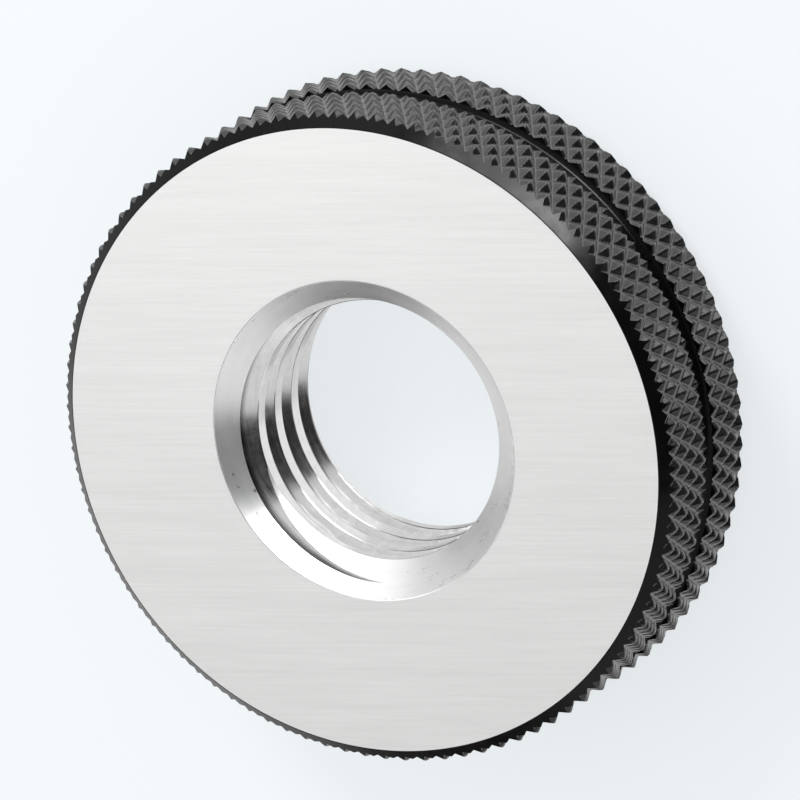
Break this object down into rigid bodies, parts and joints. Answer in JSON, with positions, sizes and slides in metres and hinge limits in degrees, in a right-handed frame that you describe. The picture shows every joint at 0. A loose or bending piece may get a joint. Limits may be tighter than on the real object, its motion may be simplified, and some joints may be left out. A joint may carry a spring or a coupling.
{
  "type": "thread ring gauge",
  "caption": "Round steel ring gauge with a right-hand internal thread countersunk at both ends, flat ground faces and a diamond-knurled rim split by a turned groove.",
  "frame": {"origin": "centre of the lower face, on the axis of the thread", "axes": "+Z along the axis of the thread, from the lower face to the upper one; the groove of the thread crosses +X 1.886 mm above the lower face"},
  "size_m": [0.045, 0.045, 0.012],
  "materials": {
    "steel": "hardened gauge steel: faces surface ground, bore and countersinks bright, rim blackened"
  },
  "bodies": {
    "root": {"ring_gauge": "steel"}
  },
  "joints": []
}
